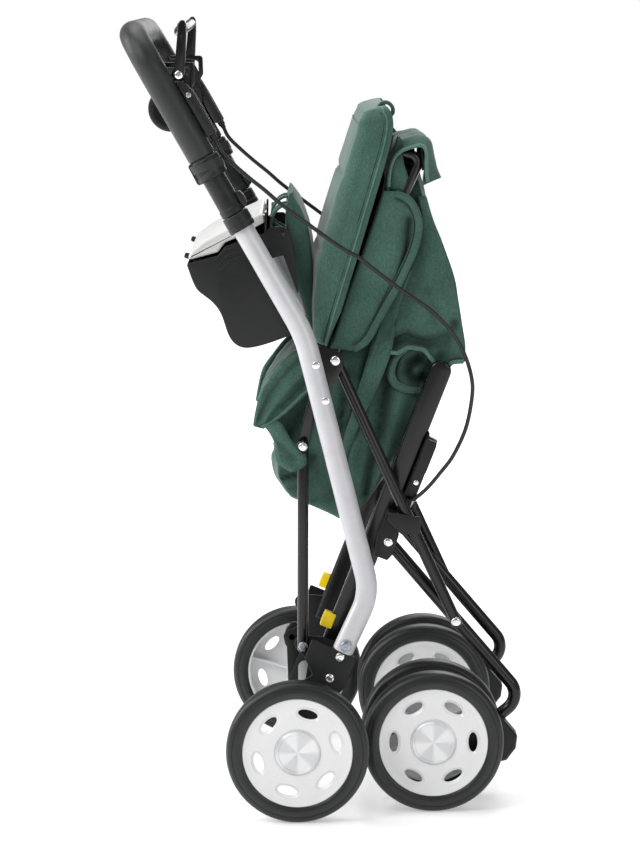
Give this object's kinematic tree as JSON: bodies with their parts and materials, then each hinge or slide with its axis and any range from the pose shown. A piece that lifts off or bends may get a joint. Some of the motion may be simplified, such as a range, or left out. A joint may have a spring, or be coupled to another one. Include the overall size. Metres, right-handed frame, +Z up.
{
  "type": "rollator",
  "caption": "Folding rollator with padded seat, shopping bag, push bar with brake levers and twin front castors, stored folded upright.",
  "frame": {"origin": "on the floor, under the middle of the folded rollator's bounding box", "axes": "+X forwards, +Y to the rollator's left, +Z up"},
  "size_m": [0.4886, 0.521, 0.9738],
  "materials": {
    "silver_paint": "satin light silver paint",
    "black_paint": "glossy black paint",
    "black_plastic": "moulded black, fine texture",
    "foam": "soft closed-cell foam",
    "tyre": "matte dark grey",
    "rim_plastic": "pale grey moulded plastic",
    "lid_plastic": "pale grey moulded plastic",
    "zinc": "zinc plated",
    "grey_steel": "grey paint",
    "yellow_plastic": "moulded yellow",
    "green_fabric": "dark green melange woven fabric",
    "cable_sheath": "black cable sheath"
  },
  "bodies": {
    "rear_axle": {"rear_axle": "zinc"},
    "chassis": {"rear_cross_bar": "grey_steel", "front_cross_tube": "black_paint", "rail_right": "black_paint", "rear_bracket_right": "black_plastic", "leg_clevis_right": "black_plastic", "rail_left": "black_paint", "rear_bracket_left": "black_plastic", "leg_clevis_left": "black_plastic"},
    "post": {"post_cross_bar": "black_paint", "accessory_tray": "black_plastic", "back_pad": "green_fabric", "bag_body": "green_fabric", "post_right": "silver_paint", "seat_bracket_right": "black_paint", "post_collar_right": "black_plastic", "brake_cable_right": "cable_sheath", "post_left": "silver_paint", "seat_bracket_left": "black_paint", "post_collar_left": "black_plastic", "brake_cable_left": "cable_sheath"},
    "tray_lid": {"tray_lid": "lid_plastic"},
    "handle": {"handle_bar": "black_paint", "foam_grip": "foam", "handle_sleeve_right": "black_plastic", "lever_housing_right": "black_plastic", "handle_sleeve_left": "black_plastic", "lever_housing_left": "black_plastic"},
    "struts": {"strut_right": "black_paint", "strut_left": "black_paint"},
    "legs": {"leg_right": "black_paint", "leg_left": "black_paint"},
    "rear_links": {"rear_link_right": "black_paint", "rear_link_left": "black_paint"},
    "seat_levers": {"seat_lever_right": "grey_steel", "seat_lever_left": "grey_steel"},
    "seat": {"seat_frame": "black_paint", "seat_board": "black_plastic", "seat_cushion": "green_fabric"},
    "lock_button_right": {"lock_button_right": "yellow_plastic"},
    "brake_arm_right": {"brake_arm_right": "black_plastic"},
    "brake_lever_right": {"brake_lever_right": "black_paint"},
    "castor_right": {"castor_fork_right": "black_plastic"},
    "rear_wheel_right": {"rear_rim_right": "rim_plastic", "rear_tyre_right": "tyre"},
    "front_wheel_right_outer": {"front_rim_right_outer": "rim_plastic", "front_tyre_right_outer": "tyre"},
    "front_wheel_right_inner": {"front_rim_right_inner": "rim_plastic", "front_tyre_right_inner": "tyre"},
    "lock_button_left": {"lock_button_left": "yellow_plastic"},
    "brake_arm_left": {"brake_arm_left": "black_plastic"},
    "brake_lever_left": {"brake_lever_left": "black_paint"},
    "castor_left": {"castor_fork_left": "black_plastic"},
    "rear_wheel_left": {"rear_rim_left": "rim_plastic", "rear_tyre_left": "tyre"},
    "front_wheel_left_outer": {"front_rim_left_outer": "rim_plastic", "front_tyre_left_outer": "tyre"},
    "front_wheel_left_inner": {"front_rim_left_inner": "rim_plastic", "front_tyre_left_inner": "tyre"}
  },
  "joints": [
    {"name": "main_fold", "type": "hinge", "parent": "rear_axle", "child": "chassis", "pos_m": [-0.0296, 0, 0.0875], "axis": [0, 1, 0], "range_deg": [0, 40.1], "deforming": ["bag_body", "brake_cable_right", "brake_cable_left"]},
    {"name": "post_hinge", "type": "hinge", "parent": "chassis", "child": "post", "pos_m": [0.0299, 0, 0.2122], "axis": [0, -1, 0], "range_deg": [0, 32.54]},
    {"name": "leg_hinge", "type": "hinge", "parent": "chassis", "child": "legs", "pos_m": [0.0829, 0, 0.3325], "axis": [0, -1, 0], "range_deg": [0, 90.13]},
    {"name": "rear_link_hinge", "type": "hinge", "parent": "chassis", "child": "rear_links", "pos_m": [-0.0227, 0, 0.2004], "axis": [0, -1, 0], "range_deg": [0, 42.7]},
    {"name": "strut_hinge", "type": "hinge", "parent": "post", "child": "struts", "pos_m": [0.0167, 0, 0.561], "axis": [0, -1, 0], "range_deg": [0, 19.45]},
    {"name": "seat_lever_hinge", "type": "hinge", "parent": "post", "child": "seat_levers", "pos_m": [0.0167, 0, 0.561], "axis": [0, 1, 0], "range_deg": [0, 24.55]},
    {"name": "seat_hinge", "type": "hinge", "parent": "post", "child": "seat", "pos_m": [0.0167, 0, 0.561], "axis": [0, 1, 0], "range_deg": [0, 71.92]},
    {"name": "handle_slide", "type": "slide", "parent": "post", "child": "handle", "axis": [-0.4958, 0, 0.8684], "range_m": [0, 0.1], "deforming": ["brake_cable_right", "brake_cable_left"]},
    {"name": "tray_lid_hinge", "type": "hinge", "parent": "post", "child": "tray_lid", "pos_m": [-0.0736, 0, 0.731], "axis": [0, 1, 0], "range_deg": [0, 60]},
    {"name": "brake_lever_hinge_right", "type": "hinge", "parent": "handle", "child": "brake_lever_right", "pos_m": [-0.1717, -0.2025, 0.9082], "axis": [0, -1, 0], "range_deg": [-12, 20], "stiffness_Nm_per_rad": 0.6},
    {"name": "brake_arm_hinge_right", "type": "hinge", "parent": "chassis", "child": "brake_arm_right", "pos_m": [-0.0371, -0.1855, 0.1437], "axis": [0, -1, 0], "range_deg": [-4, 6.5]},
    {"name": "lock_button_slide_right", "type": "slide", "parent": "chassis", "child": "lock_button_right", "axis": [0.3633, 0, 0.9317], "range_m": [0, 0.004], "stiffness_N_per_m": 400},
    {"name": "rear_wheel_spin_right", "type": "hinge", "parent": "rear_axle", "child": "rear_wheel_right", "pos_m": [-0.0296, -0.244, 0.0875], "axis": [0, 1, 0], "continuous": true},
    {"name": "castor_swivel_right", "type": "hinge", "parent": "legs", "child": "castor_right", "pos_m": [0.2142, -0.1513, 0.1048], "axis": [-0.766, 0, -0.6428], "continuous": true},
    {"name": "front_wheel_spin_right_outer", "type": "hinge", "parent": "castor_right", "child": "front_wheel_right_outer", "pos_m": [0.1384, -0.1888, 0.0875], "axis": [0, 1, 0], "continuous": true},
    {"name": "front_wheel_spin_right_inner", "type": "hinge", "parent": "castor_right", "child": "front_wheel_right_inner", "pos_m": [0.1384, -0.1138, 0.0875], "axis": [0, 1, 0], "continuous": true},
    {"name": "brake_lever_hinge_left", "type": "hinge", "parent": "handle", "child": "brake_lever_left", "pos_m": [-0.1717, 0.2025, 0.9082], "axis": [0, -1, 0], "range_deg": [-12, 20], "stiffness_Nm_per_rad": 0.6},
    {"name": "brake_arm_hinge_left", "type": "hinge", "parent": "chassis", "child": "brake_arm_left", "pos_m": [-0.0371, 0.1855, 0.1437], "axis": [0, -1, 0], "range_deg": [-4, 6.5]},
    {"name": "lock_button_slide_left", "type": "slide", "parent": "chassis", "child": "lock_button_left", "axis": [0.3633, 0, 0.9317], "range_m": [0, 0.004], "stiffness_N_per_m": 400},
    {"name": "rear_wheel_spin_left", "type": "hinge", "parent": "rear_axle", "child": "rear_wheel_left", "pos_m": [-0.0296, 0.244, 0.0875], "axis": [0, 1, 0], "continuous": true},
    {"name": "castor_swivel_left", "type": "hinge", "parent": "legs", "child": "castor_left", "pos_m": [0.2142, 0.1513, 0.1048], "axis": [-0.766, 0, -0.6428], "continuous": true},
    {"name": "front_wheel_spin_left_outer", "type": "hinge", "parent": "castor_left", "child": "front_wheel_left_outer", "pos_m": [0.1384, 0.1888, 0.0875], "axis": [0, 1, 0], "continuous": true},
    {"name": "front_wheel_spin_left_inner", "type": "hinge", "parent": "castor_left", "child": "front_wheel_left_inner", "pos_m": [0.1384, 0.1138, 0.0875], "axis": [0, 1, 0], "continuous": true}
  ],
  "couplings": [
    {"joint": "post_hinge", "follows": "main_fold", "ratio": 0.811},
    {"joint": "leg_hinge", "follows": "main_fold", "ratio": 2.2471},
    {"joint": "rear_link_hinge", "follows": "main_fold", "ratio": 1.0644},
    {"joint": "strut_hinge", "follows": "main_fold", "ratio": 0.4846},
    {"joint": "seat_lever_hinge", "follows": "main_fold", "ratio": 0.6118},
    {"joint": "seat_hinge", "follows": "main_fold", "ratio": 1.793},
    {"joint": "brake_arm_hinge_right", "follows": "brake_lever_hinge_right", "ratio": 0.3},
    {"joint": "brake_arm_hinge_left", "follows": "brake_lever_hinge_left", "ratio": 0.3}
  ]
}
